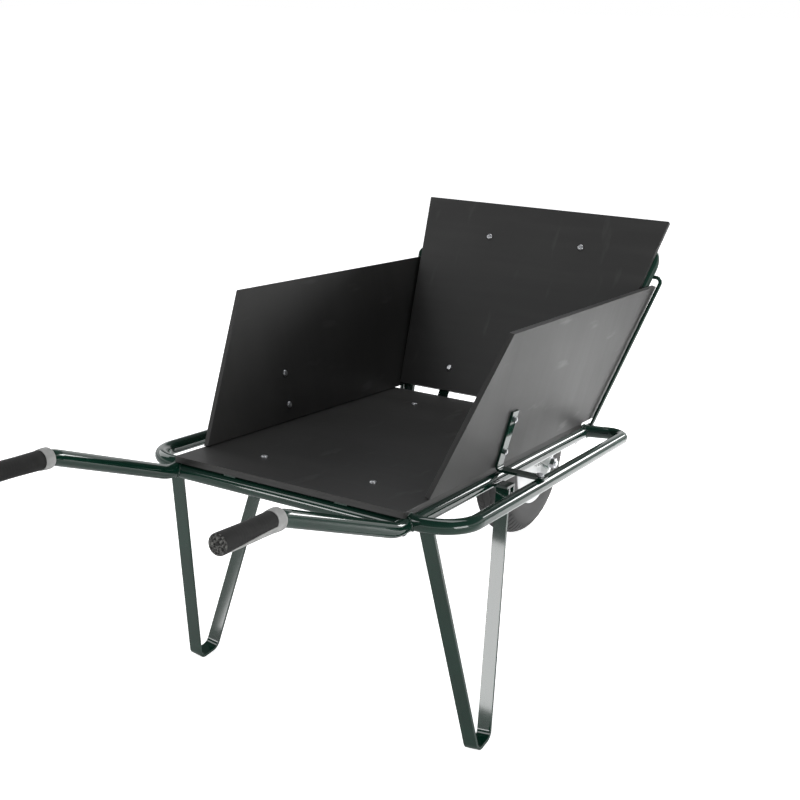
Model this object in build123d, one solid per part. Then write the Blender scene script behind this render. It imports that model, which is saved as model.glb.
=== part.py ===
from build123d import *
from math import cos, hypot, radians, sin, tan
import os

# Single-wheel barrow with a board box on a welded tube frame. Millimetres.
# Everything is drawn in the box's own frame: x to the operator's right, y forward
# to the wheel, z square to the base board, origin at the middle of the base
# board's rear edge, on its top face. At the end the whole barrow is tipped nose
# down by rest_pitch, the way it stands on its wheel and legs, and moved so that
# its origin is the middle of its footprint, on the ground.

rest_pitch = 8.0
running_gap = 0.3

# boards
base_width = 500.0
base_length = 813.0
base_thickness = 12.0
side_thickness = 10.0
side_tilt = 12.1
side_overhang = 1.0
side_rear_foot = 85.0
side_rear_top = 253.0
side_rear_height = 284.0
side_foot_over = 73.0
side_top_over = 224.0
side_front_height = 302.0
head_thickness = 10.0
head_lean = 28.55
head_foot_gap = 8.0
head_bottom = 8.0
head_top = 448.0
head_top_inset = 16.8
head_side_gap = 1.0
board_corner = 1.5

# frame tubes
tube_d = 28.0
tube_wall = 2.0
rail_over = 61.0
weld_bite = 0.3
handle_foot = -24.0
handle_bend = 90.0
grip_spacing = 456.0
grip_height = 75.0
grip_bend_y = -330.0
grip_end = -468.0
hoop_top = 399.0
hoop_gap = 0.8
hoop_bend = 54.0
rear_tube_y = 8.0
middle_tube_inset = 183.0
front_tube_inset = 23.0
guard_out = 92.0
guard_drop = 22.0
guard_rear = 22.0
guard_over = 55.0
guard_return_over = 17.0
guard_rear_bend = 76.0
guard_front_bend = 30.0
plug_depth = 14.0
plug_head = 2.5
plug_round = 1.5

# flat straps, rod and legs
strap_spacing = 244.0
strap_width = 26.0
strap_thickness = 3.0
strap_bend = 12.0
strap_top = 392.0
rod_d = 9.0
rod_top = 322.0
rod_bend = 14.0
rod_gap = 2.0
leg_width = 28.0
leg_thickness = 6.0
leg_splay = 6.9
leg_out = 22.0
leg_rear_y = 26.0
leg_rear_slope = 0.301
leg_front_y = 352.0
leg_front_slope = 0.247
leg_bend = 18.0
tab_length = 44.0
tab_depth = 34.0
tab_thickness = 5.0
tab_flange = 18.0

# side board brackets and their pegs
bracket_y = 364.0
bracket_width = 26.0
bracket_thickness = 5.0
bracket_top = 116.0
bracket_bend = 8.0
bracket_corner = 4.0
peg_d = 8.0
peg_head_d = 15.0
peg_head = 4.0
peg_dome = 2.8
peg_reach = 8.0
peg_point = 1.2
peg_slot_gap = 0.7
peg_slot_run = 11.0

# grips
grip_wall = 2.5
grip_length = 118.0
grip_cap = 6.0
grip_round = 3.6
collar_wall = 4.5
collar_length = 16.0
collar_round = 3.0

# fasteners
bolt_d = 6.0
bolt_head_d = 14.0
bolt_head = 3.4
bolt_dome = 2.7
hole_gap = 0.2
hole_length = 60.0
thread_over = 1.5
nut_across = 10.0
nut_height = 5.0
nut_chamfer = 0.4
base_bolt_rear = 108.0
base_bolt_inset = 122.0
head_bolt_low = 63.0
head_bolt_high = 373.0
board_bolt_low = 33.0
board_bolt_high = 100.0

# wheel
wheel_reach = 247.0
wheel_drop = 183.0
tyre_r = 200.0
tyre_half_width = 50.0
tyre_wall = 6.0
tyre_bulge_r = 150.0
tyre_shoulder = 15.0
tyre_shoulder_share = 0.74
bead_gap = 0.1
bead_round = 2.0
rim_seat_r = 104.0
rim_flange_r = 115.0
rim_half_width = 46.0
rim_sheet = 2.5
rim_disc_r = 68.0
rim_dish = 14.0
rim_shoulder = 8.0
rim_bend = 8.0
rim_lip_bend = 4.0
rim_bolt_r = 50.0
rim_bolt_d = 8.0
rim_bolt_head = 5.3
rim_nut = 6.5
rim_nut_across = 13.0
rim_bolt_count = 5
hub_d = 38.0
hub_bore = 30.0
hub_half_length = 55.0
hub_flange_r = 62.0
hub_flange = 4.0
bearing_length = 30.0
bearing_end = 4.0
bearing_play = 0.2
roller_d = 6.0
roller_count = 9
axle_d = 16.0
axle_gap = 0.05
spacer_d = 26.0
spacer_gap = 0.5
inner_tube_wall = 2.5
inner_tube_gap = 4.0
inner_tube_side_gap = 11.0
valve_d = 8.0
valve_low = 25.0
valve_high = 14.0
valve_inset = 16.5
valve_lean = 53.13
valve_cap_d = 11.0
valve_cap_length = 13.0
valve_cap_grip = 4.0
valve_cap_round = 2.2

# wheel fork
fork_spacing = 160.0
fork_knee_inset = 107.0
fork_knee_bend = 90.0
eye_thickness = 6.0
eye_width = 36.0
eye_inset = 70.0
eye_reach = 100.0
fork_end_gap = 22.0
axle_nut_across = 24.0
axle_nut = 13.0
washer_d = 30.0
washer = 3.0
axle_end = 4.0
axle_chamfer = 1.2

tube_r = tube_d / 2
rail_z = -base_thickness - tube_r
cross_z = -base_thickness - strap_thickness - tube_r
grip_x = grip_spacing / 2
guard_x = base_width / 2 + guard_out
guard_z = -guard_drop
guard_front = base_length + guard_over
guard_return = base_length + guard_return_over
rail_front = base_length + rail_over
middle_tube_y = base_length - middle_tube_inset
front_tube_y = base_length - front_tube_inset
leg_top_x = base_width / 2 + leg_out
strap_x = strap_spacing / 2
grip_r = tube_r + grip_wall
collar_r = tube_r + collar_wall
base_bolt_front = base_length - base_bolt_inset
fork_knee_y = base_length - fork_knee_inset
wheel_y = base_length + wheel_reach
fork_x = fork_spacing / 2
inner_tube_high = (tyre_r - tyre_wall - rim_seat_r) / 2 - inner_tube_gap
inner_tube_wide = tyre_half_width - tyre_wall - inner_tube_side_gap
wheel_z = -wheel_drop
pitch_sin = sin(radians(rest_pitch))
pitch_cos = cos(radians(rest_pitch))
ground = tyre_r - (wheel_z * pitch_cos - wheel_y * pitch_sin)

# The side boards' outer faces: local x is forward, local y up the slope, normal outward.
side_sin = sin(radians(side_tilt))
side_cos = cos(radians(side_tilt))
side_face = Plane(
    origin=(base_width / 2 + side_overhang, 0, 0),
    x_dir=(0, 1, 0),
    z_dir=(side_cos, 0, -side_sin),
)
side_inner_foot = base_width / 2 + side_overhang - side_thickness / side_cos
side_front_foot = base_length + side_foot_over
side_front_top = base_length + side_top_over

# The hoop's legs run just inside the side boards, and the rails just outside the hoop's feet.
hoop_foot_x = side_inner_foot - (tube_r + hoop_gap) / side_cos
rail_x = hoop_foot_x + rail_z * side_sin / side_cos + (tube_d - weld_bite) / side_cos

# The head board's rear face: local x to the left, local y up the slope, normal to the front.
head_sin = sin(radians(head_lean))
head_cos = cos(radians(head_lean))
head_foot = base_length + head_foot_gap
head_back_y = head_foot + head_thickness / head_cos
head_top_half = side_inner_foot + head_top * side_sin / side_cos - head_top_inset
head_back = Plane(
    origin=(0, head_back_y, 0),
    x_dir=(-1, 0, 0),
    z_dir=(0, head_cos, -head_sin),
)


def behind_head(x, z, offset):
    """Point behind the head board at height z, offset square to the board."""
    return (x, head_back_y + offset / head_cos + z * head_sin / head_cos, z)


def round_bar(path, radius):
    """Round bar of the given radius along a path."""
    return sweep(Plane(path @ 0, z_dir=path % 0) * Circle(radius), path=path)


def flat_bar(path, width, thickness, flat_normal):
    """Flat bar along a path, its thickness lying along flat_normal at the start."""
    section = Plane(path @ 0, x_dir=flat_normal, z_dir=path % 0)
    return sweep(section * Rectangle(thickness, width), path=path)


def hex_nut(across, height, bore):
    """Hexagon nut standing on the XY plane."""
    body = extrude(RegularPolygon(across / 2, 6, major_radius=False), height)
    body = chamfer(body.edges().group_by(Axis.Z)[-1], nut_chamfer)
    return body - extrude(Circle(bore / 2), height)


def dome_bolt(length):
    """Domed bolt with its head's seat on the XY plane and its shank down."""
    head = extrude(Circle(bolt_head_d / 2), bolt_head)
    head = fillet(head.edges().group_by(Axis.Z)[-1], bolt_dome)
    return head + extrude(Circle(bolt_d / 2), -length)


def largest(shape):
    """The biggest solid of a shape, without cut-off ends."""
    return max(shape.solids(), key=lambda solid: solid.volume)


def main_path():
    """Centre line of one rail and handle, from the grip's end to the rail's front."""
    return FilletPolyline(
        (grip_x, grip_end, grip_height),
        (grip_x, grip_bend_y, grip_height),
        (rail_x, handle_foot, rail_z),
        (rail_x, rail_front, rail_z),
        radius=handle_bend,
    )


def main_tube():
    """Rail and handle, one bent tube."""
    path = main_path()
    return round_bar(path, tube_r) - round_bar(path, tube_r - tube_wall)


def rail_envelope():
    """Straight part of the rail as a full cylinder, to shape what is welded on it."""
    length = rail_front - handle_foot
    return Plane((rail_x, handle_foot, rail_z), z_dir=(0, 1, 0)) * extrude(Circle(tube_r), length)


def rail_plug():
    """Push-in cap in the rail's open front end."""
    seat = Plane((rail_x, rail_front, rail_z), z_dir=(0, 1, 0))
    stem = extrude(Circle(tube_r - tube_wall), -plug_depth)
    cap = extrude(Circle(tube_r), plug_head)
    cap = fillet(cap.edges().group_by(Axis.Z)[-1], plug_round)
    return seat * (stem + cap)


def cross_tube(y):
    """Straight tube between the rails, its ends shaped to them."""
    line = Line((-rail_x, y, cross_z), (rail_x, y, cross_z))
    tube = round_bar(line, tube_r) - round_bar(line, tube_r - tube_wall)
    tube = tube - rail_envelope() - mirror(rail_envelope(), about=Plane.YZ)
    return largest(tube)


def hoop_point(z):
    """Point on the right leg of the hoop's centre line."""
    return behind_head(hoop_foot_x + z * side_sin / side_cos, z, tube_r)


def head_hoop():
    """Bent tube behind the head board, its feet welded inside the rails."""
    foot = hoop_point(rail_z - tube_r)
    top = hoop_point(hoop_top)
    points = [foot, top, (-top[0], top[1], top[2]), (-foot[0], foot[1], foot[2])]
    path = FilletPolyline(*points, radius=hoop_bend)
    tube = round_bar(path, tube_r) - round_bar(path, tube_r - tube_wall)
    tube = tube - rail_envelope() - mirror(rail_envelope(), about=Plane.YZ)
    return largest(tube)


def guard_path():
    """Centre line of the guard tube beside one rail."""
    end_x = base_width / 2 + running_gap
    return FilletPolyline(
        (end_x, guard_rear, guard_z),
        (guard_x, guard_rear, guard_z),
        (guard_x, guard_front, guard_z),
        (end_x, guard_return, guard_z),
        radius=[guard_rear_bend, guard_front_bend],
    )


def peg_axis():
    """Plane at the peg's seat on the bracket foot, its normal along the board's slope."""
    seat_z = guard_z + tube_r + running_gap + bracket_thickness
    return Plane((guard_x, bracket_y, seat_z), x_dir=(0, 1, 0), z_dir=(side_sin, 0, side_cos))


def guard_tube():
    """Guard tube with its ends shaped to the rail and a slot for the bracket's peg."""
    path = guard_path()
    slot_length = peg_slot_run + peg_d + 2 * peg_slot_gap
    slot = SlotOverall(slot_length, peg_d + 2 * peg_slot_gap)
    slot = Pos(peg_d / 2 + peg_slot_gap - slot_length / 2, 0) * slot
    cut = peg_axis() * extrude(slot, -tube_r - bracket_thickness - running_gap)
    tube = round_bar(path, tube_r) - round_bar(path, tube_r - tube_wall)
    return largest(tube - rail_envelope() - cut)


def strap_path():
    """Centre line of a strap, under the base board and up behind the head board."""
    z = -base_thickness - strap_thickness / 2
    return FilletPolyline(
        (strap_x, rear_tube_y - tube_r / 2, z),
        behind_head(strap_x, z, strap_thickness / 2),
        behind_head(strap_x, strap_top, strap_thickness / 2),
        radius=strap_bend,
    )


def base_strap():
    """Flat strap that carries the base and head boards, with its bolt holes."""
    bar = flat_bar(strap_path(), strap_width, strap_thickness, (0, 0, 1))
    return bar - base_bolt_holes() - head_bolt_holes()


def base_bolt_places():
    """Seats of the base board's bolts, on its top face."""
    return [
        Pos(side * strap_x, y, 0)
        for side in (-1, 1)
        for y in (base_bolt_rear, base_bolt_front)
    ]


def head_bolt_places():
    """Seats of the head board's bolts, on its front face."""
    front = Plane(
        origin=(0, head_foot, 0),
        x_dir=(1, 0, 0),
        z_dir=(0, -head_cos, head_sin),
    )
    return [
        front * Pos(side * strap_x, z / head_cos, 0)
        for side in (-1, 1)
        for z in (head_bolt_low, head_bolt_high)
    ]


def side_bolt_places():
    """Seats of the side board's bolts, on its inner face, pointing inward."""
    inner = Plane(
        side_face.from_local_coords((0, 0, -side_thickness)),
        x_dir=(0, 1, 0),
        z_dir=(-side_cos, 0, side_sin),
    )
    return [inner * Pos(bracket_y, -z / side_cos, 0) for z in (board_bolt_low, board_bolt_high)]


def base_bolt_holes():
    """Holes for the base board's bolts."""
    return Part() + [place * Cylinder(bolt_d / 2 + hole_gap, hole_length) for place in base_bolt_places()]


def head_bolt_holes():
    """Holes for the head board's bolts."""
    return Part() + [place * Cylinder(bolt_d / 2 + hole_gap, hole_length) for place in head_bolt_places()]


def side_bolt_holes():
    """Holes for one side board's bolts."""
    return Part() + [place * Cylinder(bolt_d / 2 + hole_gap, hole_length) for place in side_bolt_places()]


def base_board():
    """Flat board under the load."""
    board = Pos(0, base_length / 2, -base_thickness / 2) * Box(base_width, base_length, base_thickness)
    board = fillet(board.edges().filter_by(Axis.Z), board_corner)
    return board - base_bolt_holes()


def side_board():
    """Side board, standing on the base board's edge and leaning outward."""
    lift = running_gap / side_cos
    outline = Polyline(
        (side_rear_foot, lift),
        (side_front_foot, lift),
        (side_front_top, side_front_height / side_cos),
        (side_rear_top, side_rear_height / side_cos),
        close=True,
    )
    face = fillet(make_face(outline).vertices(), board_corner)
    board = side_face * extrude(face, -side_thickness)
    return board - side_bolt_holes()


def head_board():
    """Head board between the side boards, leaning forward."""
    bottom = side_inner_foot + head_bottom * side_sin / side_cos - head_side_gap / side_cos
    low = head_bottom / head_cos
    high = head_top / head_cos
    outline = Polyline(
        (-bottom, low),
        (bottom, low),
        (head_top_half, high),
        (-head_top_half, high),
        close=True,
    )
    face = fillet(make_face(outline).vertices(), board_corner)
    board = head_back * extrude(face, -head_thickness)
    return board - head_bolt_holes()


def rod_point(z):
    """Point on the right leg of the bail rod's centre line."""
    reach = rod_d / 2 + rod_gap
    x = base_width / 2 + side_overhang + reach / side_cos + z * side_sin / side_cos
    return behind_head(x, z, tube_d + rod_d / 2)


def bail_rod():
    """Thin bent rod outside the side boards and behind the hoop, standing on the rails."""
    foot = rod_point(rail_z + tube_r / 2)
    top = rod_point(rod_top)
    points = [foot, top, (-top[0], top[1], top[2]), (-foot[0], foot[1], foot[2])]
    rod = round_bar(FilletPolyline(*points, radius=rod_bend), rod_d / 2)
    return largest(rod - rail_envelope() - mirror(rail_envelope(), about=Plane.YZ))


def leg():
    """Flat bar bent to a V with a flat foot, splayed outward."""
    splay_sin = sin(radians(leg_splay))
    splay_cos = cos(radians(leg_splay))
    base = ground - leg_thickness / 2 * splay_cos - leg_width / 2 * splay_sin
    rear_depth = (base - leg_rear_y * pitch_sin) / (pitch_cos + leg_rear_slope * pitch_sin)
    front_depth = (base - leg_front_y * pitch_sin) / (pitch_cos - leg_front_slope * pitch_sin)
    tab_under = tab_thickness - rail_z
    points = [
        (leg_rear_y + leg_rear_slope * guard_drop, guard_drop),
        (leg_rear_y + leg_rear_slope * rear_depth, rear_depth),
        (leg_front_y - leg_front_slope * front_depth, front_depth),
        (leg_front_y - leg_front_slope * tab_under, tab_under),
    ]
    hanging = Plane(
        origin=(leg_top_x, 0, 0),
        x_dir=(0, 1, 0),
        z_dir=(splay_cos, 0, splay_sin),
    )
    local = [(y, -depth / splay_cos, 0) for y, depth in points]
    path = hanging * FilletPolyline(*local, radius=leg_bend)
    bar = flat_bar(path, leg_width, leg_thickness, (0, 1, 0))
    block = Box(2 * tab_length, 2 * tab_depth, tab_depth)
    above = Pos(leg_top_x, leg_front_y, tab_depth / 2 - tab_under) * block
    guard = round_bar(guard_path(), tube_r)
    return largest(bar - above - guard - rail_envelope())


def leg_tab():
    """Angle welded to the rail's side, with the leg's front strut under it."""
    x = rail_x + tab_length / 2
    y = leg_front_y - leg_front_slope * (tab_thickness - rail_z)
    plate = Pos(x, y, rail_z - tab_thickness / 2) * Box(tab_length, tab_depth, tab_thickness)
    flange_y = y + (tab_depth - tab_thickness) / 2
    flange_z = rail_z - tab_flange / 2
    flange = Pos(x, flange_y, flange_z) * Box(tab_length, tab_thickness, tab_flange)
    return largest(plate + flange - rail_envelope())


def board_bracket():
    """Flat bar bolted to the side board, its foot reaching out over the guard tube."""
    foot_z = guard_z + tube_r + running_gap + bracket_thickness / 2
    face_x = base_width / 2 + side_overhang + bracket_thickness / 2 / side_cos
    points = [
        (face_x + bracket_top * side_sin / side_cos, bracket_y, bracket_top),
        (face_x + foot_z * side_sin / side_cos, bracket_y, foot_z),
        (guard_x + bracket_width / 2, bracket_y, foot_z),
    ]
    path = FilletPolyline(*points, radius=bracket_bend)
    bar = flat_bar(path, bracket_width, bracket_thickness, (side_cos, 0, -side_sin))
    bar = fillet(bar.edges().filter_by(Axis.Z), bracket_corner)
    return bar - side_bolt_holes() - peg_axis() * Cylinder(peg_d / 2, 4 * bracket_thickness)


def bracket_peg():
    """Round peg through the bracket's foot, dropping into the guard tube's slot."""
    head = extrude(Circle(peg_head_d / 2), peg_head)
    head = fillet(head.edges().group_by(Axis.Z)[-1], peg_dome)
    shank = extrude(Circle(peg_d / 2), -bracket_thickness - running_gap - peg_reach)
    shank = chamfer(shank.edges().group_by(Axis.Z)[0], peg_point)
    lift = peg_head_d / 2 * side_sin / side_cos
    neck = extrude(Circle(peg_d / 2), lift)
    return peg_axis() * (Pos(0, 0, lift) * head + neck + shank)


def side_board_bolts():
    """Domed bolts from inside, through the side board and its bracket."""
    length = side_thickness + bracket_thickness + nut_height + thread_over
    return [place * dome_bolt(length) for place in side_bolt_places()]


def side_board_nuts():
    """Nuts on the outside of the bracket."""
    depth = side_thickness + bracket_thickness + nut_height
    nut = Pos(0, 0, -depth) * hex_nut(nut_across, nut_height, bolt_d + 2 * hole_gap)
    return [place * nut for place in side_bolt_places()]


def base_bolts():
    """Domed bolts through the base board and straps."""
    length = base_thickness + strap_thickness + nut_height + thread_over
    return [place * dome_bolt(length) for place in base_bolt_places()]


def base_nuts():
    """Nuts under the straps."""
    depth = base_thickness + strap_thickness + nut_height
    nut = hex_nut(nut_across, nut_height, bolt_d + 2 * hole_gap)
    return [place * Pos(0, 0, -depth) * nut for place in base_bolt_places()]


def head_bolts():
    """Domed bolts through the head board and straps."""
    length = head_thickness + strap_thickness + nut_height + thread_over
    return [place * dome_bolt(length) for place in head_bolt_places()]


def head_nuts():
    """Nuts behind the straps of the head board."""
    depth = head_thickness + strap_thickness + nut_height
    nut = hex_nut(nut_across, nut_height, bolt_d + 2 * hole_gap)
    return [place * Pos(0, 0, -depth) * nut for place in head_bolt_places()]


def grip_seat():
    """Plane at the open end of the handle, its normal pointing forward along the tube."""
    return Plane((grip_x, grip_end, grip_height), x_dir=(1, 0, 0), z_dir=(0, 1, 0))


def grip_body():
    """Sleeve pushed over the handle, closed at its end."""
    sleeve = Pos(0, 0, -grip_cap) * extrude(Circle(grip_r), grip_cap + grip_length)
    sleeve = fillet(sleeve.edges().group_by(Axis.Z)[0], grip_round)
    bore = extrude(Circle(tube_r), grip_length)
    return grip_seat() * (sleeve - bore)


def grip_collar():
    """Soft collar in front of the grip's sleeve."""
    ring = Pos(0, 0, grip_length) * extrude(Circle(collar_r), collar_length)
    ring = fillet(ring.edges().filter_by(GeomType.CIRCLE), collar_round)
    return grip_seat() * ring - round_bar(main_path(), tube_r)


def fork_path():
    """Centre line of one fork tube, from the middle cross tube to the axle."""
    return FilletPolyline(
        (fork_x, middle_tube_y, cross_z),
        (fork_x, fork_knee_y, cross_z),
        (fork_x, wheel_y, wheel_z),
        radius=fork_knee_bend,
    )


def fork_direction():
    """Unit direction of the fork's sloping part, as y and z."""
    run = wheel_y - fork_knee_y
    drop = wheel_z - cross_z
    length = hypot(run, drop)
    return run / length, drop / length


def fork_eye_plane():
    """Plane through the axle, square to it, its local y up along the fork."""
    y_dir, z_dir = fork_direction()
    return Plane((fork_x, wheel_y, wheel_z), x_dir=(0, y_dir, z_dir), z_dir=(1, 0, 0))


def fork_eye():
    """Plate let into the fork tube's end, with the axle's hole."""
    slot = Pos(-eye_inset / 2, 0) * SlotCenterToCenter(eye_inset, eye_width)
    plate = extrude(slot, eye_thickness / 2, both=True)
    return fork_eye_plane() * (plate - Cylinder(axle_d / 2 + hole_gap, 4 * eye_thickness))


def fork_tube():
    """Tube from under the base board down to the wheel's axle."""
    path = fork_path()
    tube = round_bar(path, tube_r) - round_bar(path, tube_r - tube_wall)
    for y in (middle_tube_y, front_tube_y):
        tube = tube - round_bar(Line((-rail_x, y, cross_z), (rail_x, y, cross_z)), tube_r)
    end = fork_eye_plane() * Pos(eye_reach / 2 - fork_end_gap, 0) * Box(eye_reach, 2 * tube_d, 2 * tube_d)
    slot = Pos(-eye_inset / 2, 0) * SlotCenterToCenter(eye_inset, eye_width)
    plate = fork_eye_plane() * extrude(slot, eye_thickness / 2, both=True)
    return tube - end - plate


def wheel_plane():
    """Plane through the wheel's centre, its normal along the axle to the right."""
    return Plane((0, wheel_y, wheel_z), x_dir=(0, 1, 0), z_dir=(1, 0, 0))


def tyre_curve(inset, foot_r):
    """Right half of the tyre's section from bead to crown, drawn in by inset."""
    heel = rim_half_width - rim_sheet - bead_gap - inset
    wide = tyre_half_width - inset
    return Spline(
        (foot_r, 0, heel),
        (rim_flange_r + bead_gap, 0, heel),
        (tyre_bulge_r, 0, wide),
        (tyre_r - tyre_shoulder, 0, wide * tyre_shoulder_share),
        (tyre_r - inset, 0, 0),
        tangents=[(1, 0, 0), (0, 0, -1)],
    )


def tyre():
    """Pneumatic tyre with its beads on the rim's seats."""
    foot_r = rim_seat_r + bead_gap
    outer = tyre_curve(0, foot_r + bead_round)
    inner = tyre_curve(tyre_wall, foot_r)
    crown = Line(outer @ 1, inner @ 1)
    heel = (foot_r, 0, rim_half_width - rim_sheet - bead_gap - bead_round)
    seat = Line(inner @ 0, heel)
    corner = Line(heel, outer @ 0)
    ring = revolve(make_face(Wire([outer, crown, inner, seat, corner])), Axis.Z)
    return wheel_plane() * (ring + mirror(ring, about=Plane.XY))


def inner_tube():
    """Air tube inside the tyre, hollow."""
    centre = (tyre_r - tyre_wall + rim_seat_r) / 2
    outer = Ellipse(inner_tube_high, inner_tube_wide)
    bore = Ellipse(inner_tube_high - inner_tube_wall, inner_tube_wide - inner_tube_wall)
    ring = wheel_plane() * revolve(Plane.XZ * Pos(centre, 0) * (outer - bore), Axis.Z)
    return ring - valve_stem()


def rim_section():
    """Section of one rim half, from the disc out to the flange, as radius and distance along."""
    start = hub_flange / 2 + rim_sheet
    seat = rim_seat_r - rim_sheet
    path = FilletPolyline(
        (hub_d / 2, start),
        (rim_disc_r, start),
        (seat - rim_shoulder, start + rim_dish),
        (seat, start + rim_dish + rim_shoulder),
        (seat, rim_half_width),
        (rim_flange_r, rim_half_width),
        radius=[rim_bend, rim_bend, rim_bend, rim_lip_bend],
    )
    return make_face(offset(path, rim_sheet, side=Side.RIGHT))


def rim_bolt_places():
    """Places of the rim bolts around the axle."""
    step = 360 / rim_bolt_count
    return [Rot(0, 0, turn * step) * Pos(rim_bolt_r, 0, 0) for turn in range(rim_bolt_count)]


def rim_half():
    """Right pressed half of the rim, bolted to the hub's flange."""
    ring = revolve(Rot(90, 0, 0) * rim_section(), Axis.Z)
    for place in rim_bolt_places():
        ring = ring - place * Cylinder(rim_bolt_d / 2 + hole_gap, hole_length)
    return wheel_plane() * ring


def valve_axis():
    """Plane where the valve passes the rim, its normal along the stem towards the cap."""
    middle = (rim_seat_r - valve_inset, 0, hub_flange / 2 + rim_dish - rim_sheet)
    lean = radians(valve_lean)
    return wheel_plane() * Plane(middle, z_dir=(-sin(lean), 0, cos(lean)))


def valve_hole():
    """Hole for the valve in the right rim half."""
    return valve_axis() * Cylinder(valve_d / 2 + hole_gap, hole_length)


def valve_stem():
    """Valve stem from the air tube through the right rim half."""
    stem = extrude(Circle(valve_d / 2), valve_low + valve_high)
    return valve_axis() * Pos(0, 0, -valve_low) * stem


def valve_cap():
    """Cap on the valve's end."""
    cap = extrude(Circle(valve_cap_d / 2), valve_cap_length)
    cap = fillet(cap.edges().group_by(Axis.Z)[-1], valve_cap_round)
    return valve_axis() * Pos(0, 0, valve_high - valve_cap_grip) * cap - valve_stem()


def hub():
    """Hub tube with a middle flange for the rim halves."""
    body = Cylinder(hub_d / 2, 2 * hub_half_length) + Cylinder(hub_flange_r, hub_flange)
    body = body - Cylinder(hub_bore / 2, 2 * hub_half_length)
    for place in rim_bolt_places():
        body = body - place * Cylinder(rim_bolt_d / 2 + hole_gap, hole_length)
    return wheel_plane() * body


def roller_places():
    """Middles of the rollers in the right end of the hub."""
    middle = Pos((hub_bore + axle_d) / 4, 0, hub_half_length - bearing_length / 2)
    return [Rot(0, 0, turn * 360 / roller_count) * middle for turn in range(roller_count)]


def bearing_cage():
    """Roller cage in the right end of the hub."""
    ring = Cylinder(hub_bore / 2, bearing_length) - Cylinder(axle_d / 2 + axle_gap, bearing_length)
    ring = Pos(0, 0, hub_half_length - bearing_length / 2) * ring
    for place in roller_places():
        ring = ring - place * Cylinder(roller_d / 2, bearing_length - 2 * bearing_end)
    return wheel_plane() * ring


def bearing_rollers():
    """Rollers held in the right cage."""
    roller = Cylinder(roller_d / 2 - axle_gap, bearing_length - 2 * bearing_end - bearing_play)
    return [wheel_plane() * place * roller for place in roller_places()]


def rim_bolts():
    """Bolts that hold the rim halves to the hub's flange."""
    grip = hub_flange + 2 * rim_sheet
    head = extrude(RegularPolygon(rim_nut_across / 2, 6, major_radius=False), rim_bolt_head)
    shank = extrude(Circle(rim_bolt_d / 2), -grip - rim_nut - thread_over)
    bolt = Pos(0, 0, grip / 2) * (head + shank)
    return [wheel_plane() * place * bolt for place in rim_bolt_places()]


def rim_nuts():
    """Nuts of the rim bolts, on the left."""
    nut = hex_nut(rim_nut_across, rim_nut, rim_bolt_d + 2 * hole_gap)
    nut = Pos(0, 0, -hub_flange / 2 - rim_sheet) * mirror(nut, about=Plane.XY)
    return [wheel_plane() * place * nut for place in rim_bolt_places()]


def axle_half_length():
    """Half the axle, from the wheel's middle to the end past the nut."""
    return fork_x + eye_thickness / 2 + washer + axle_nut + axle_end


def axle():
    """Fixed axle through the fork's eyes."""
    bar = Cylinder(axle_d / 2, 2 * axle_half_length())
    bar = chamfer(bar.edges().filter_by(GeomType.CIRCLE), axle_chamfer)
    return wheel_plane() * bar


def axle_spacer():
    """Sleeve between the hub and the right fork eye."""
    start = hub_half_length + spacer_gap
    length = fork_x - eye_thickness / 2 - start
    sleeve = Cylinder(spacer_d / 2, length) - Cylinder(axle_d / 2 + hole_gap, length)
    return wheel_plane() * Pos(0, 0, start + length / 2) * sleeve


def axle_washers():
    """Washers outside both fork eyes."""
    ring = Cylinder(washer_d / 2, washer) - Cylinder(axle_d / 2 + hole_gap, washer)
    place = fork_x + eye_thickness / 2 + washer / 2
    return [wheel_plane() * Pos(0, 0, side * place) * ring for side in (-1, 1)]


def axle_nuts():
    """Nuts on both ends of the axle."""
    nut = hex_nut(axle_nut_across, axle_nut, axle_d + 2 * hole_gap)
    right = Pos(0, 0, fork_x + eye_thickness / 2 + washer) * nut
    return [wheel_plane() * right, wheel_plane() * mirror(right, about=Plane.XY)]


def left(shape):
    """The same piece on the other side."""
    return mirror(shape, about=Plane.YZ)


def paired(name, shape):
    """A right-hand piece and its mirror image, as two nodes."""
    return {"right_" + name: shape, "left_" + name: left(shape)}


def paired_group(name, shapes):
    """Right-hand pieces and their mirror images, as two nodes of several solids."""
    return {"right_" + name: shapes, "left_" + name: [left(shape) for shape in shapes]}


nodes = {
    "base_board": base_board(),
    "head_board": head_board(),
    "head_hoop": head_hoop(),
    "rear_cross_tube": cross_tube(rear_tube_y),
    "middle_cross_tube": cross_tube(middle_tube_y),
    "front_cross_tube": cross_tube(front_tube_y),
    "bail_rod": bail_rod(),
    "base_bolts": base_bolts(),
    "base_nuts": base_nuts(),
    "head_bolts": head_bolts(),
    "head_nuts": head_nuts(),
    "tyre": tyre(),
    "inner_tube": inner_tube(),
    "hub": hub(),
    "rim_bolts": rim_bolts(),
    "rim_nuts": rim_nuts(),
    "valve_stem": valve_stem(),
    "valve_cap": valve_cap(),
    "axle": axle(),
    "axle_washers": axle_washers(),
    "axle_nuts": axle_nuts(),
}
nodes |= paired("main_tube", main_tube())
nodes |= paired("rail_plug", rail_plug())
nodes |= paired("guard_tube", guard_tube())
nodes |= paired("strap", base_strap())
nodes |= paired("leg", leg())
nodes |= paired("leg_tab", leg_tab())
nodes |= paired("fork_tube", fork_tube())
nodes |= paired("fork_eye", fork_eye())
nodes |= paired("side_board", side_board())
nodes |= paired("board_bracket", board_bracket())
nodes |= paired("bracket_peg", bracket_peg())
nodes |= paired_group("board_bolts", side_board_bolts())
nodes |= paired_group("board_nuts", side_board_nuts())
nodes |= paired("grip", grip_body())
nodes |= paired("grip_collar", grip_collar())
nodes |= paired("rim_half", rim_half())
nodes |= paired("bearing_cage", bearing_cage())
nodes |= paired_group("bearing_rollers", bearing_rollers())
nodes |= paired("axle_spacer", axle_spacer())

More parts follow.
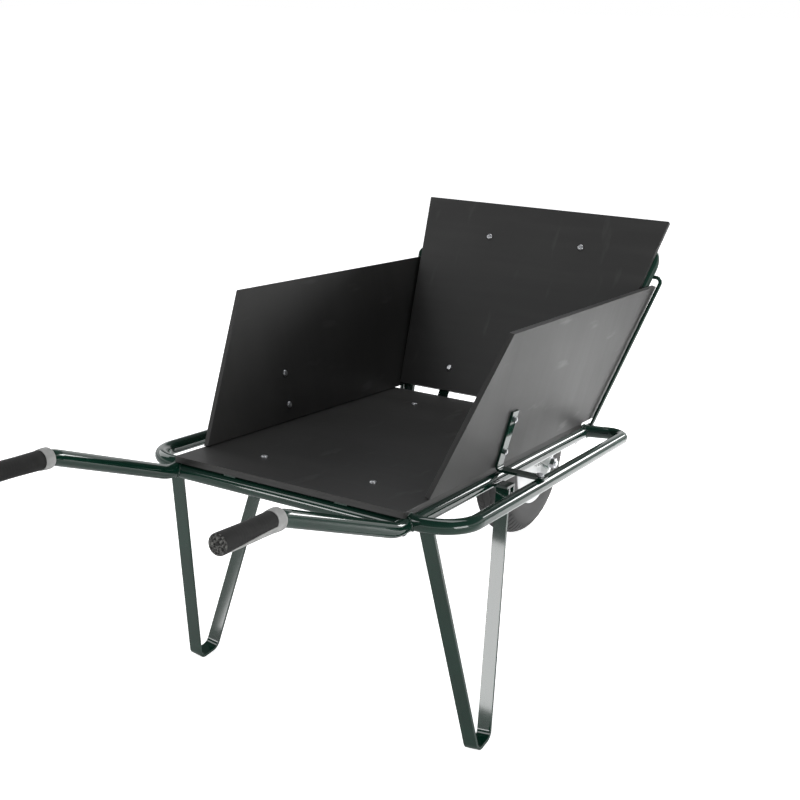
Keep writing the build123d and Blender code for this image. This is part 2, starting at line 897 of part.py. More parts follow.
nodes["right_rim_half"] = nodes["right_rim_half"] - valve_hole()

rear_y = grip_end - grip_cap + grip_round
rear_z = grip_height - grip_r + grip_round
rear_end = rear_y * pitch_cos + rear_z * pitch_sin - grip_round
front_end = wheel_y * pitch_cos + wheel_z * pitch_sin + tyre_r
stand = Pos(0, -(rear_end + front_end) / 2, ground) * Rot(-rest_pitch, 0, 0)

os.makedirs("parts", exist_ok=True)
for name, shape in nodes.items():
    shapes = shape if isinstance(shape, list) else [shape]
    solids = [stand * solid for piece in shapes for solid in piece.solids()]
    export_step(Compound(children=solids) if len(solids) > 1 else solids[0], "parts/" + name + ".step")
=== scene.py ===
import bmesh
import bpy
import numpy as np
from mathutils import Matrix, Vector


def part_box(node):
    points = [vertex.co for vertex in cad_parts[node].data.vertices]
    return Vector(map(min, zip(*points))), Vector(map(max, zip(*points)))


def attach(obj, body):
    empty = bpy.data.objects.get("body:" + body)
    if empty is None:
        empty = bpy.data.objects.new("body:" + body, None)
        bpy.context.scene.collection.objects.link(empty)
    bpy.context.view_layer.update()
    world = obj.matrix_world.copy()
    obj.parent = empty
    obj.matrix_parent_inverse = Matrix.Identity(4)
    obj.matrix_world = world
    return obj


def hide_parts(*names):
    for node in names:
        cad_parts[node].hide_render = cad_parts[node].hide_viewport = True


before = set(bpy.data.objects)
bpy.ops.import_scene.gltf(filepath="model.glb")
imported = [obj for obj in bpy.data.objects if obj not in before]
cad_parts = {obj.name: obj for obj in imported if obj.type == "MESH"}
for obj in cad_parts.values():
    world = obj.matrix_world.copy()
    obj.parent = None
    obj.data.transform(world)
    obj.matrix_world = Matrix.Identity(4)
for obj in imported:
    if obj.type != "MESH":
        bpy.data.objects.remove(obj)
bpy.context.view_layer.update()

# Studio. A wide pale floor, a bright horizon under a dim ceiling, and six soft boxes:
# the gloss of the paint shows them as long light stripes between dark bands.
floor_size = 60.0
floor_grey = (0.80, 0.80, 0.80)
floor_glow = (0.12, 0.12, 0.12)
floor_seen = (0.90, 0.90, 0.90)
sky_bands = [
    (0.0, (1.0, 1.0, 1.0)),
    (0.20, (1.0, 1.0, 1.0)),
    (0.30, (0.20, 0.21, 0.22)),
    (1.0, (0.08, 0.08, 0.09)),
]
sky_seen = (1.0, 1.0, 1.0)

mesh = bpy.data.meshes.new("studio_floor")
corners = [(-1, -1, 0), (1, -1, 0), (1, 1, 0), (-1, 1, 0)]
mesh.from_pydata([Vector(c) * floor_size / 2 for c in corners], [], [(0, 1, 2, 3)])
floor = bpy.data.objects.new("studio_floor", mesh)
bpy.context.scene.collection.objects.link(floor)


class Wire:
    """An output socket of a material's node; arithmetic on it adds Math nodes."""

    def __init__(self, finish, socket):
        self.finish = finish
        self.socket = socket

    def maths(self, operation, a, b=0.0):
        return self.finish.node("Math", {"operation": operation}, {0: a, 1: b})

    def __add__(self, other):
        return self.maths("ADD", self, other)

    def __radd__(self, other):
        return self.maths("ADD", other, self)

    def __sub__(self, other):
        return self.maths("SUBTRACT", self, other)

    def __rsub__(self, other):
        return self.maths("SUBTRACT", other, self)

    def __mul__(self, other):
        return self.maths("MULTIPLY", self, other)

    def __rmul__(self, other):
        return self.maths("MULTIPLY", other, self)

    def __abs__(self):
        return self.maths("ABSOLUTE", self)

    def above(self, low, high):
        """Soft step: 0 below low, 1 above high."""
        inputs = {"Value": self, "From Min": low, "From Max": high}
        return self.finish.node("MapRange", {"interpolation_type": "SMOOTHSTEP"}, inputs)


class Finish:
    """Node tree of a material or, if given, of a world: every node comes from node()."""

    def __init__(self, name, world=None):
        self.material = world or bpy.data.materials.new(name)
        self.material.use_nodes = True
        self.tree = self.material.node_tree
        self.tree.nodes.clear()

    def node(self, kind, settings, inputs, output=0):
        """A node of the given type, its settings first, then its sockets' values or links."""
        made = self.tree.nodes.new("ShaderNode" + kind)
        for name, value in settings.items():
            if name == "stops":
                while len(made.color_ramp.elements) < len(value):
                    made.color_ramp.elements.new(1.0)
                for stop, (place, colour) in zip(made.color_ramp.elements, value):
                    stop.position = place
                    stop.color = (*colour, 1)
            else:
                setattr(made, name, value)
        for name, value in inputs.items():
            if isinstance(value, Wire):
                self.tree.links.new(value.socket, made.inputs[name])
            else:
                made.inputs[name].default_value = value
        return Wire(self, made.outputs[output])

    def place(self):
        """Object coordinates, in metres."""
        return self.node("TexCoord", {}, {}, "Object")

    def along(self, axis, start=0.0):
        """Distance along an axis from a start, in metres."""
        inputs = {0: self.place(), 1: tuple(axis)}
        reach = self.node("VectorMath", {"operation": "DOT_PRODUCT"}, inputs, "Value")
        return reach - float(start)

    def noise(self, scale, detail=2.0, where=None):
        """Soft noise from 0 to 1, with the given number of cells per metre."""
        where = where or self.place()
        inputs = {"Vector": where, "Scale": scale, "Detail": detail}
        return self.node("TexNoise", {}, inputs, "Fac")

    def stretched(self, x, y, z):
        """Coordinates from three wires or numbers, for grain and streaks."""
        return self.node("CombineXYZ", {}, {"X": x, "Y": y, "Z": z})

    def blend(self, share, a, b):
        """Colour that goes from a to b as share goes from 0 to 1."""
        a = (*a, 1) if isinstance(a, tuple) else a
        b = (*b, 1) if isinstance(b, tuple) else b
        return self.node("Mix", {"data_type": "RGBA"}, {0: share, 6: a, 7: b}, 2)

    def bumped(self, height, depth):
        """Normal from a height wire, its full swing being depth metres."""
        return self.node("Bump", {}, {"Height": height, "Distance": depth}, "Normal")

    def surface(self, **sockets):
        """The Principled surface of the material, by socket name."""
        inputs = {name.replace("_", " "): value for name, value in sockets.items()}
        for name, value in inputs.items():
            if isinstance(value, tuple):
                inputs[name] = (*value, 1)
        self.close("Material", self.node("BsdfPrincipled", {}, inputs))
        return self.material

    def close(self, owner, wire):
        """Links a wire to the output of a material or a world."""
        end = self.tree.nodes.new("ShaderNodeOutput" + owner)
        self.tree.links.new(wire.socket, end.inputs["Surface"])


pale = Finish("pale_floor")
seen = pale.node("LightPath", {}, {}, "Is Camera Ray")
pale.surface(
    Base_Color=floor_grey,
    Roughness=0.9,
    Emission_Color=pale.blend(seen, floor_glow, floor_seen),
    Emission_Strength=1.0,
)
floor.data.materials.append(pale.material)

world = bpy.data.worlds.new("studio")
bpy.context.scene.world = world
sky = Finish("studio", world)
height = sky.node("SeparateXYZ", {}, {0: sky.node("TexCoord", {}, {}, "Generated")}, "Z")
light = sky.node("ValToRGB", {"stops": sky_bands}, {"Fac": height}, "Color")
light = sky.blend(sky.node("LightPath", {}, {}, "Is Camera Ray"), light, sky_seen)
sky.close("World", sky.node("Background", {}, {"Color": light, "Strength": 1.0}))


def aimed(name, lamp, place, aim):
    """Puts a lamp at a place, facing a point."""
    holder = bpy.data.objects.new(name, lamp)
    turn = (Vector(place) - Vector(aim)).to_track_quat("Z", "Y")
    holder.matrix_world = Matrix.Translation(place) @ turn.to_matrix().to_4x4()
    bpy.context.scene.collection.objects.link(holder)


box_centre = (0, 0.2, 0.4)


def soft_box(name, place, width, height, power):
    """Rectangular area light at a place, facing the barrow's box."""
    lamp = bpy.data.lights.new(name, "AREA")
    lamp.shape = "RECTANGLE"
    lamp.size = width
    lamp.size_y = height
    lamp.energy = power
    aimed(name, lamp, place, box_centre)


soft_box("box_left", (-3.6, 0.8, 2.4), 2.6, 2.0, 36)
soft_box("box_right", (3.8, -0.9, 0.9), 2.2, 1.2, 52)
soft_box("box_top", (0.0, 1.6, 4.2), 3.0, 2.0, 52)
soft_box("box_behind", (-1.8, -2.6, 3.4), 1.6, 1.2, 22)
soft_box("box_low", (-1.8, -4.0, 0.85), 1.4, 0.9, 32)
soft_box("box_streak", (1.6, 4.6, 1.6), 1.2, 0.7, 30)

# A spot on the floor ahead and to the right: its white patch lights the right side board.
pool = bpy.data.lights.new("floor_pool", "SPOT")
pool.energy = 900
pool.spot_size = np.radians(48)
pool.spot_blend = 1.0
pool.shadow_soft_size = 0.3
aimed("floor_pool", pool, (1.5, 2.3, 2.6), (0.68, 1.35, 0.0))

# Camera. Behind the operator's right shoulder, looking down on the box.
lens = bpy.data.cameras.new("camera")
lens.lens = 52.945
lens.sensor_width = 36.0
lens.shift_x = -0.0328
lens.shift_y = 0.026
lens.clip_end = 200.0
camera = bpy.data.objects.new("camera", lens)
right_hand = Vector((0.87264, 0.48835, 0.0003)).normalized()
ahead = Vector((-0.45470, 0.81277, -0.36421)).normalized()
upward = right_hand.cross(ahead)
pose = Matrix((right_hand, upward, -ahead)).transposed().to_4x4()
camera.matrix_world = Matrix.Translation((1.1608, -1.9335, 1.3990)) @ pose
bpy.context.scene.collection.objects.link(camera)
bpy.context.scene.camera = camera
bpy.context.scene.view_settings.view_transform = "Standard"

# Boards. Plywood faced with black phenolic film, sawn and sealed at the edges; the base
# board is bolted to the straps, the head board too, and the side boards lift off.
rest_pitch = np.radians(8.0)
base_thickness = 0.012
wall_thickness = 0.010
side_foot = 0.251
side_tilt = np.radians(12.1)
head_foot = 0.821
head_lean = np.radians(28.55)
film_edge = 0.0006
film_dark = (0.0165, 0.0163, 0.0155)
film_light = (0.0215, 0.0213, 0.0203)
film_cloud = (0.026, 0.026, 0.025)
film_scuff = (0.060, 0.060, 0.058)
sealed_dark = (0.012, 0.012, 0.011)
sealed_light = (0.024, 0.023, 0.022)


def tipped(x, y, z):
    """Direction in the barrow's level frame, tipped nose down as it stands."""
    turned_y = y * np.cos(rest_pitch) + z * np.sin(rest_pitch)
    turned_z = z * np.cos(rest_pitch) - y * np.sin(rest_pitch)
    return np.stack(np.broadcast_arrays(x, turned_y, turned_z), axis=-1)


rear_low, rear_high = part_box("base_board")
deck = np.array([0.0, rear_low[1] + base_thickness * np.sin(rest_pitch), rear_high[2]])


def placed(x, y, z):
    """Point given from the base board's rear edge, in metres, as it stands."""
    return deck + tipped(x, y, z)


def film(name, across, up, outward, point, thickness):
    """Black phenolic film with grain along the direction across, dull scuffs, sealed edges."""
    board = Finish(name)
    u = board.along(across)
    v = board.along(up)
    w = board.along(outward, np.dot(outward, point) - thickness / 2)
    face = abs(w).above(thickness / 2 - film_edge, thickness / 2 - film_edge / 4)
    grain = board.noise(1.0, 3.0, board.stretched(u * 9, v * 150, 0.0))
    streak = board.noise(1.0, 2.0, board.stretched(u * 3, v * 34, 0.4))
    cloud = board.noise(5.0, 3.0)
    specks = board.noise(900.0, 2.0)
    scuff = board.noise(1.0, 4.0, board.stretched(u * 30, v * 7, 0.8)).above(0.62, 0.74)
    veneer = board.noise(1.0, 2.0, board.stretched(u * 25, v * 25, w * 900))
    tone = board.blend(streak.above(0.35, 0.75), film_dark, film_light)
    tone = board.blend(cloud.above(0.3, 0.8) * 0.5, tone, film_cloud)
    tone = board.blend(scuff * 0.25, tone, film_scuff)
    rim = board.blend(veneer.above(0.3, 0.7), sealed_dark, sealed_light)
    shine = 0.40 + streak * 0.10 + cloud * 0.10 - scuff * 0.06
    rough = shine * face + (1 - face) * 0.5
    relief = grain * 0.5 + specks * 0.3 + veneer * (1 - face)
    return board.surface(
        Base_Color=board.blend(face, rim, tone),
        Roughness=rough,
        IOR=1.5,
        Normal=board.bumped(relief, 0.00012),
    )


def dress(material, *nodes):
    """Gives CAD nodes a finish."""
    for name in nodes:
        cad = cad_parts[name]
        cad.data.materials.clear()
        cad.data.materials.append(material)


cross_axis = tipped(1, 0, 0)
deck_ahead = tipped(0, 1, 0)
deck_up = tipped(0, 0, 1)
head_up = tipped(0, np.sin(head_lean), np.cos(head_lean))
head_out = tipped(0, -np.cos(head_lean), np.sin(head_lean))
dress(film("film_base", cross_axis, deck_ahead, deck_up, deck, base_thickness), "base_board")
head_face = placed(0, head_foot, 0)
dress(film("film_head", cross_axis, head_up, head_out, head_face, wall_thickness), "head_board")
for side, node in ((1, "right_side_board"), (-1, "left_side_board")):
    slope = tipped(side * np.sin(side_tilt), 0, np.cos(side_tilt))
    outward = tipped(side * np.cos(side_tilt), 0, -np.sin(side_tilt))
    foot = placed(side * side_foot, 0, 0)
    dress(film("film_" + node, slope, deck_ahead, outward, foot, wall_thickness), node)

# Frame. Round steel tube, flat bar and a thin rod, welded and then coated in a thick
# glossy dark green paint that pools at the welds.
green_deep = (0.0030, 0.024, 0.0145)
green_light = (0.0045, 0.032, 0.0195)
green = Finish("green_paint")
flow = green.noise(9.0, 2.0)
fleck = green.noise(420.0, 2.0)
green_paint = green.surface(
    Base_Color=green.blend(flow.above(0.3, 0.7), green_deep, green_light),
    Roughness=0.35 + flow * 0.1,
    Specular_IOR_Level=0.0,
    Coat_Weight=1.0,
    Coat_Roughness=0.05,
    Coat_IOR=1.6,
    Normal=green.bumped(fleck * 0.3 + flow, 0.0002),
)
sides = ("left_", "right_")
painted = ["head_hoop", "rear_cross_tube", "middle_cross_tube", "front_cross_tube", "bail_rod"]
pairs = ("main_tube", "guard_tube", "strap", "leg", "leg_tab")
pairs += ("fork_tube", "fork_eye", "board_bracket")
painted += [side + name for side in sides for name in pairs]
dress(green_paint, *painted)

# Weld beads. Where a tube or the rod runs into another tube, a rippled bead of steel laid
# by hand goes round the joint, under the same paint as the frame.
tube_r = 0.014
rod_r = 0.0045
rod_gap = 0.002
rod_above = 0.1
weld_bite = 0.0003
rail_x = 0.24839
rail_z = -0.026
cross_z = -0.029
cross_tube_y = (("rear", 0.008), ("middle", 0.630), ("front", 0.790))
guard_x = 0.342
guard_z = -0.022
guard_rear_y = 0.022
guard_front_y = 0.868
guard_end = (0.2503, 0.830)
hoop_seam_long = 0.0075
hoop_seam_high = 0.006
bead_r = 0.0022
bead_ripple = 0.0032
bead_swell = 0.13
bead_sides = 10
rail_way = np.array([0.0, 1.0, 0.0])


def skin(name, grid, material, body, loop=False):
    """Closed smooth piece over a grid of points, rows by columns. The columns run round and
    join up; the rows join up too in a loop, and otherwise start and end in a point."""
    rows, columns = grid.shape[:2]
    index = np.arange(rows * columns).reshape(rows, columns)
    index = np.hstack([index, index[:, :1]])
    if loop:
        index = np.vstack([index, index[:1]])
    near, far = index[:-1], index[1:]
    quads = np.stack([near[:, :-1], near[:, 1:], far[:, 1:], far[:, :-1]], axis=-1)
    quads = quads.reshape(-1, 4)
    shell = bpy.data.meshes.new(name)
    shell.vertices.add(rows * columns)
    shell.vertices.foreach_set("co", grid.reshape(-1).astype(np.float32))
    shell.loops.add(quads.size)
    shell.loops.foreach_set("vertex_index", quads.reshape(-1).astype(np.int32))
    shell.polygons.add(len(quads))
    shell.polygons.foreach_set("loop_start", np.arange(0, quads.size, 4, dtype=np.int32))
    shell.update(calc_edges=True)
    work = bmesh.new()
    work.from_mesh(shell)
    bmesh.ops.remove_doubles(work, verts=work.verts, dist=1e-6)
    bmesh.ops.recalc_face_normals(work, faces=work.faces)
    work.to_mesh(shell)
    work.free()
    shell.polygons.foreach_set("use_smooth", np.ones(len(shell.polygons), dtype=bool))
    shell.materials.append(material)
    piece = bpy.data.objects.new(name, shell)
    bpy.context.scene.collection.objects.link(piece)
    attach(piece, body)
    return piece


def unit(v):
    """Vectors scaled to length one."""
    return v / np.linalg.norm(v, axis=-1, keepdims=True)


def seam(rail, start, reach, radius, turns):
    """Closed line where a round bar meets a rail: each line of the bar's surface, start
    + ring(turn) + t * reach, runs on until |flat(start + ring - rail + t * reach)| is the
    rail's radius, flat being the part square to the rail."""
    reach = unit(np.array(reach, float))
    aside = unit(np.cross(reach, rail_way))
    upright = np.cross(aside, reach)
    ring = radius * (np.outer(np.cos(turns), aside) + np.outer(np.sin(turns), upright))
    from_rail = start + ring - rail
    flat = from_rail - np.outer(from_rail @ rail_way, rail_way)
    run = reach - (reach @ rail_way) * rail_way
    a = run @ run
    b = flat @ run
    c = (flat * flat).sum(axis=1) - tube_r**2
    t = (-b - np.sqrt(np.maximum(b * b - a * c, 0))) / a
    return start + ring + np.outer(t, reach)


def weld(name, line):
    """Bead along a closed line: a small circle carried round it, swelling and shrinking
    once every ripple length."""
    ahead = unit(np.roll(line, -1, axis=0) - np.roll(line, 1, axis=0))
    out = unit(line - line.mean(axis=0))
    out = unit(out - (out * ahead).sum(axis=1)[:, None] * ahead)
    third = np.cross(ahead, out)
    steps = np.linalg.norm(np.roll(line, -1, axis=0) - line, axis=1)
    run = np.cumsum(steps)
    ripples = max(4, round(run[-1] / bead_ripple))
    swell = bead_r * (1 + bead_swell * np.sin(2 * np.pi * ripples * run / run[-1]))
    turn = np.linspace(0, 2 * np.pi, bead_sides, endpoint=False)
    ring = np.cos(turn)[None, :, None] * out[:, None, :]
    ring = ring + np.sin(turn)[None, :, None] * third[:, None, :]
    points = line[:, None, :] + swell[:, None, None] * ring
    grid = placed(*np.moveaxis(points, -1, 0))
    skin(name, grid, green_paint, "frame", loop=True)


def behind(x, z, gap):
    """Point a gap behind the head board, at x and height z."""
    board_y = head_foot + (wall_thickness + gap) / np.cos(head_lean)
    return np.array([x, board_y + z * np.tan(head_lean), z])


round_joint = np.linspace(0, 2 * np.pi, 220, endpoint=False)
small_joint = np.linspace(0, 2 * np.pi, 90, endpoint=False)
for side, word in ((1, "right"), (-1, "left")):
    rail = np.array([side * rail_x, 0, rail_z])
    corner = np.array([side * guard_x, guard_rear_y, guard_z])
    weld(f"weld_{word}_guard_rear", seam(rail, corner, (-side, 0, 0), tube_r, round_joint))
    corner = np.array([side * guard_x, guard_front_y, guard_z])
    back = np.array([side * guard_end[0], guard_end[1], guard_z]) - corner
    weld(f"weld_{word}_guard_front", seam(rail, corner, back, tube_r, round_joint))
    for place, y in cross_tube_y:
        middle = np.array([0, y, cross_z])
        line = seam(rail, middle, (side, 0, 0), tube_r, round_joint)
        weld(f"weld_{word}_{place}_cross", line)

    # The hoop's leg lies against the rail: its bead goes round the spot where they touch.
    lean_out = side * np.tan(side_tilt)
    hoop_x = side * (rail_x - (2 * tube_r - weld_bite) / np.cos(side_tilt))
    level_point = behind(hoop_x, rail_z, tube_r)
    hoop_way = unit(behind(hoop_x + lean_out, rail_z + 1, tube_r) - level_point)
    flat_way = hoop_way * (1, 0, 1)
    slide = (level_point - rail) @ flat_way / (flat_way @ flat_way)
    outward = unit(np.array([side * hoop_way[2], 0, -side * hoop_way[0]]))
    middle = level_point - hoop_way * slide + outward * tube_r
    upright = np.cross(outward, rail_way)
    ring = np.outer(hoop_seam_long * np.cos(small_joint), rail_way)
    ring = ring + np.outer(hoop_seam_high * np.sin(small_joint), upright)
    weld(f"weld_{word}_hoop", middle + ring)

    rod_x = side * (side_foot + (rod_r + rod_gap) / np.cos(side_tilt))
    low = behind(rod_x + rail_z * lean_out, rail_z, 2 * tube_r + rod_r)
    high = behind(rod_x + rod_above * lean_out, rod_above, 2 * tube_r + rod_r)
    weld(f"weld_{word}_rod", seam(rail, high, low - high, rod_r, small_joint))

# Fasteners. Domed bolts with hexagon nuts hold the boards and the rim halves, pegs drop
# through the brackets' feet into the guard tubes, and a fixed bar with washers, nuts and
# spacers is the axle. All are of zinc plated steel.
zinc_dull = (0.50, 0.51, 0.53)
zinc_bright = (0.66, 0.67, 0.68)
zinc = Finish("bright_zinc")
bloom = zinc.noise(260.0, 3.0)
bright_zinc = zinc.surface(
    Base_Color=zinc.blend(bloom.above(0.35, 0.7), zinc_dull, zinc_bright),
    Metallic=1.0,
    Roughness=0.22 + bloom * 0.22,
    Normal=zinc.bumped(bloom, 0.00005),
)
plated = ["base_bolts", "base_nuts", "head_bolts", "head_nuts", "rim_bolts", "rim_nuts"]
plated += ["axle", "axle_washers", "axle_nuts"]
pairs = ("board_bolts", "board_nuts", "bracket_peg", "axle_spacer", "bearing_rollers")
plated += [side + name for side in sides for name in pairs]
dress(bright_zinc, *plated)

# Tyre. A pneumatic tyre of black rubber with its beads on the rim: ribs run round the
# crown, cut by notches, and lugs run down over the shoulders. The air tube and the valve's
# stem are of the same rubber.
rubber_dark = (0.024, 0.0235, 0.0235)
rubber_light = (0.040, 0.0395, 0.0395)
rubber = Finish("tyre_rubber")
grit = rubber.noise(700.0, 2.0)
tyre_rubber = rubber.surface(
    Base_Color=rubber.blend(grit, rubber_dark, rubber_light),
    Roughness=0.62 + grit * 0.15,
    Normal=rubber.bumped(grit, 0.0001),
)
dress(tyre_rubber, "inner_tube", "valve_stem")

hub_y = 1.060
hub_z = -0.183
tyre_r = 0.200
belly_r = 0.150
belly_half = 0.050
wall_power = 0.42
crown_power = 0.89
wall_bend = -0.775
bead_r_low = 0.1043
bead_wide = 0.007
bead_round = 0.002
bead_step = 0.0015
bead_bends = [-2.0, -1.6, -1.2]
tread_deep = 0.0036
tread_edge = 1.16
tread_fade = 0.20
zigzag_count = 36
zigzag_place = 0.17
zigzag_swing = 0.030
zigzag_wide = 0.032
rib_place = 0.50
rib_wide = 0.030
lug_count = 66
lug_end = 1.12
notch_start = 0.20
notch_deep = 0.7
wall_ribs = 180
wall_rib_deep = 0.0006
wall_rib_r = 0.170
wall_rib_wide = 0.0062
ring_deep = 0.0005
ring_wide_r = 0.128
ring_narrow_r = 0.133
turn_steps = 720


def groove(distance, width):
    """1 in the middle of a groove and 0 at its edges, with sloping walls."""
    return np.clip(1.35 - np.abs(distance) / width, 0, 1)


def sawtooth(x):
    """Zigzag between -1 and 1, once for every whole x."""
    return 4 * np.abs(x - np.floor(x) - 0.5) - 1


def tyre_shape():
    """Tyre turned round the hub. Its half section, from the bead to the crown, has the
    radius belly_r + (tyre_r - belly_r) sin(bend) and the half width belly_half
    cos(bend)^power; the tread is sunk square to it, by crown angle and turn."""
    turn = np.linspace(0, 2 * np.pi, turn_steps, endpoint=False)[:, None]
    bend = np.concatenate([np.linspace(wall_bend, 0.30, 16), np.linspace(0.33, np.pi / 2, 34)])
    power = np.where(bend < 0, wall_power, crown_power)
    wall_r = belly_r + (tyre_r - belly_r) * np.sin(bend)
    wall_a = belly_half * np.maximum(np.cos(bend), 0) ** power
    foot_a = wall_a[0] - np.array([bead_wide, bead_round, 0])
    half_r = np.concatenate([[bead_r_low, bead_r_low, bead_r_low + bead_step], wall_r])
    half_a = np.concatenate([foot_a, wall_a])
    half_bend = np.concatenate([bead_bends, bend])
    section_r = np.concatenate([half_r, half_r[-2::-1]])[None, :]
    section_a = np.concatenate([half_a, -half_a[-2::-1]])[None, :]
    section_bend = np.concatenate([half_bend, half_bend[-2::-1]])[None, :]
    crown = np.pi / 2 - section_bend
    side = np.where(section_a < 0, -1.0, 1.0)
    turns = turn / (2 * np.pi)
    swing = zigzag_swing * sawtooth(turns * zigzag_count)
    inner_rib = groove(crown - zigzag_place - swing, zigzag_wide)
    outer_rib = groove(crown - rib_place, rib_wide)
    lugs = turns * lug_count + 0.25 * side + 0.5 * crown * side
    on_shoulder = (crown > rib_place) * (crown < lug_end)
    lug_gap = groove(sawtooth(lugs) + 1, 0.55) * on_shoulder
    on_crown = (crown > notch_start) * (crown < rib_place)
    notch = notch_deep * groove(sawtooth(lugs + 0.5) + 1, 0.22) * on_crown
    lug_gap = lug_gap * np.clip((tread_edge - crown) / tread_fade, 0, 1)
    tread = np.maximum(np.maximum(inner_rib, outer_rib), np.maximum(lug_gap, notch))
    rings = groove(section_r - ring_wide_r, 0.0022) + groove(section_r - ring_narrow_r, 0.0012)
    ribs = groove(sawtooth(turns * wall_ribs) + 1, 0.7)
    ribs = ribs * groove(section_r - wall_rib_r, wall_rib_wide)
    depth = tread_deep * tread - ring_deep * rings - wall_rib_deep * ribs
    slope = np.clip(section_bend, -0.8, None)
    r = section_r - depth * np.sin(slope)
    a = section_a - depth * np.cos(slope) * side
    return placed(a, hub_y + r * np.cos(turn), hub_z + r * np.sin(turn))


piece = skin("tyre_tread", tyre_shape(), tyre_rubber, "wheel", loop=True)
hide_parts("tyre")

# Rim halves and hub. Two halves pressed from sheet steel are bolted to the flange of a
# turned hub, all under a light grey enamel.
enamel_dark = (0.50, 0.51, 0.51)
enamel_light = (0.60, 0.61, 0.61)
enamel = Finish("rim_enamel")
mottle = enamel.noise(60.0, 2.0)
rim_enamel = enamel.surface(
    Base_Color=enamel.blend(mottle, enamel_dark, enamel_light),
    Roughness=0.25 + mottle * 0.1,
    Coat_Weight=0.5,
)
dress(rim_enamel, "hub", "left_rim_half", "right_rim_half")

# Plugs, valve cap and bearing cages. Small parts moulded in black plastic: the plugs are
# pushed into the rails' front ends and the cages into the hub's.
plastic_dark = (0.022, 0.022, 0.022)
plastic_light = (0.030, 0.030, 0.030)
plastic = Finish("black_plastic")
pebble = plastic.noise(1500.0, 1.0)
black_plastic = plastic.surface(
    Base_Color=plastic.blend(pebble, plastic_dark, plastic_light),
    Roughness=0.45 + pebble * 0.1,
    Normal=plastic.bumped(pebble, 0.00005),
)
dress(black_plastic, "valve_cap")
for side in sides:
    dress(black_plastic, side + "rail_plug", side + "bearing_cage")

# Grips. A black rubber sleeve with a moulded end is pushed over each handle, and over its
# front a soft grey collar sweeps back along the sleeve's outer side as a narrowing strip.
grip_x = 0.228
grip_z = 0.075
grip_r = 0.0165
grip_tail = -0.474
sleeve_long = 0.126
sleeve_bottom = 0.006
sleeve_dark = (0.008, 0.008, 0.0075)
sleeve_worn = (0.017, 0.017, 0.016)
sleeve_pale = (0.16, 0.16, 0.15)
end_r = 0.0138
end_ring_r = (0.0118, 0.0045)
end_ring_wide = (0.0011, 0.0009)
end_deep = 0.0014
spoke_count = 8
spoke_span = (0.0056, 0.0106)
barrel_start = 0.0035
waist_deep = 0.0007
rib_deep = 0.0002
rib_pitch = 0.006
rib_span = (0.014, 0.094)
mould_high = 0.00025
sleeve_rubber = Finish("grip_rubber")
grain = sleeve_rubber.noise(1100.0, 1.0)
wear = sleeve_rubber.noise(45.0, 3.0)
from_tail = sleeve_rubber.along(deck_ahead, np.dot(placed(0, grip_tail, 0), deck_ahead))
on_end = 1 - from_tail.above(0.0006, 0.0022)
# The moulded end's colour is lightened to pale grey in specks.
specks = on_end * sleeve_rubber.noise(260.0, 3.0).above(0.40, 0.62)
tone = sleeve_rubber.blend(wear.above(0.4, 0.8), sleeve_dark, sleeve_worn)
sleeve_black = sleeve_rubber.surface(
    Base_Color=sleeve_rubber.blend(specks, tone, sleeve_pale),
    Roughness=0.52 + grain * 0.12 + wear * 0.08,
    Specular_IOR_Level=0.35,
    Normal=sleeve_rubber.bumped(grain, 0.00006),
)

collar_front = 0.140
collar_back = 0.119
collar_dark = (0.36, 0.36, 0.35)
collar_light = (0.48, 0.48, 0.47)
collar_thick = 0.0007
collar_round = 0.0012
collar_nose = 0.005
collar_flare = 0.0010
tongue_middle = 0.75
tongue_half = 0.62
tongue_long = 0.100
sweep_long = 0.010
soft_grey = Finish("collar_rubber")
grain = soft_grey.noise(1300.0, 1.0)
smudge = soft_grey.noise(60.0, 3.0)
collar_grey = soft_grey.surface(
    Base_Color=soft_grey.blend(smudge.above(0.35, 0.75), collar_dark, collar_light),
    Roughness=0.55 + grain * 0.15,
    Normal=soft_grey.bumped(grain, 0.00006),
)


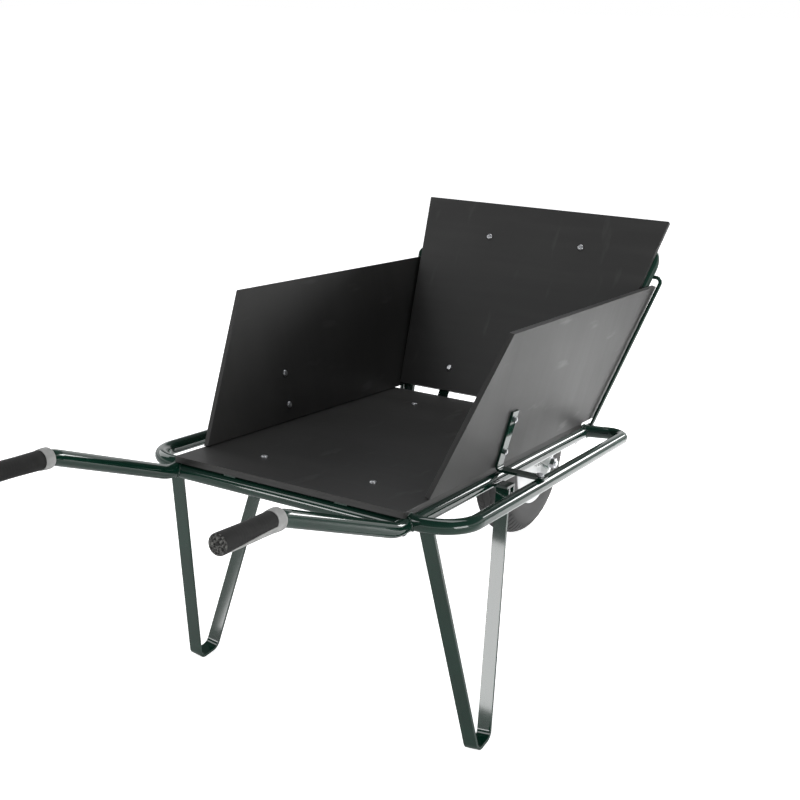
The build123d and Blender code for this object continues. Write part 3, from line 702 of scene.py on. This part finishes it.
def sleeve(side):
    """Turned grip of radius r(s): from the middle of its end out over a relief of rings and
    spokes, round the rim, along the barrel with a waist sin^2(pi s / sleeve_long), and back
    inside to the tube."""
    angle = np.linspace(0, 2 * np.pi, 96, endpoint=False)[None, :]
    ones = np.ones_like(angle)
    face_r = np.linspace(0, end_r, 26)[:, None]
    relief = groove(face_r - end_ring_r[0], end_ring_wide[0])
    relief = relief + groove(face_r - end_ring_r[1], end_ring_wide[1])
    on_spokes = (face_r > spoke_span[0]) * (face_r < spoke_span[1])
    relief = relief + groove(sawtooth(angle * spoke_count / (2 * np.pi)) + 1, 0.5) * on_spokes
    face_s = end_deep * np.clip(relief, 0, 1)
    rim = np.linspace(0, np.pi / 2, 9)[:, None]
    rim_r = end_r + (grip_r - end_r) * np.sin(rim)
    rim_s = (grip_r - end_r) * (1 - np.cos(rim))
    barrel_s = np.linspace(barrel_start, sleeve_long, 60)[:, None]
    waist = waist_deep * np.sin(np.pi * barrel_s / sleeve_long) ** 2
    on_ribs = (barrel_s > rib_span[0]) * (barrel_s < rib_span[1])
    rib = rib_deep * groove(sawtooth(barrel_s / rib_pitch) + 1, 0.6) * on_ribs
    mould = mould_high * np.exp(-((np.sin(angle) / 0.03) ** 2))
    barrel_r = grip_r - waist - rib + mould
    bore_s = np.linspace(sleeve_long, sleeve_bottom, 6)[:, None]
    bore_r = np.full_like(bore_s, tube_r)
    r = np.concatenate([face_r * ones, rim_r * ones, barrel_r, bore_r * ones, 0 * ones])
    s = [face_s, rim_s * ones, barrel_s * ones, bore_s * ones, sleeve_bottom * ones]
    s = np.concatenate(s)
    x = side * grip_x + r * np.cos(angle)
    return placed(x, grip_tail + s, grip_z + r * np.sin(angle))


def collar(side):
    """Grey cover round the sleeve's front: its rear edge is a ring on the inner side and
    sweeps back on the outer, lower side to a narrow tongue; its rim is rounded."""
    angle = np.linspace(0, 2 * np.pi, 160, endpoint=False)[None, :]
    middle = -tongue_middle if side > 0 else np.pi + tongue_middle
    off = np.abs((angle - middle + np.pi) % (2 * np.pi) - np.pi)
    tongue = np.clip(1 - off / tongue_half, 0, 1)
    sweep = sweep_long * np.clip(1 - off / 1.6, 0, 1) ** 2
    edge = collar_back - sweep - tongue_long * tongue**0.6
    share = np.linspace(0, 1, 46)[:, None]
    s = edge + (collar_front - edge) * share
    rise = np.clip((s - edge) / collar_round, 0, 1)
    lift = collar_thick * np.sqrt(np.clip(1 - (1 - rise) ** 2, 0, 1))
    flare = collar_flare * np.clip((s - 0.116) / 0.012, 0, 1)
    nose = np.clip((s - (collar_front - collar_nose)) / collar_nose, 0, 1)
    r = grip_r + lift + flare
    r = r + (tube_r + 0.0006 - r) * (1 - np.sqrt(np.clip(1 - nose**2, 0, 1)))
    under = np.full_like(r[:1], tube_r + 0.0002)
    r = np.concatenate([r, under, under])
    s = np.concatenate([s, s[-1:] - 0.001, edge + 0.002])
    x = side * grip_x + r * np.cos(angle)
    return placed(x, grip_tail + s, grip_z + r * np.sin(angle))


for side, word in ((1, "right"), (-1, "left")):
    piece = skin(word + "_grip_sleeve", sleeve(side), sleeve_black, "frame")
    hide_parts(word + "_grip")
    cover = collar(side)
    piece = skin(word + "_grip_cover", cover, collar_grey, "frame", loop=True)
    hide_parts(word + "_grip_collar")
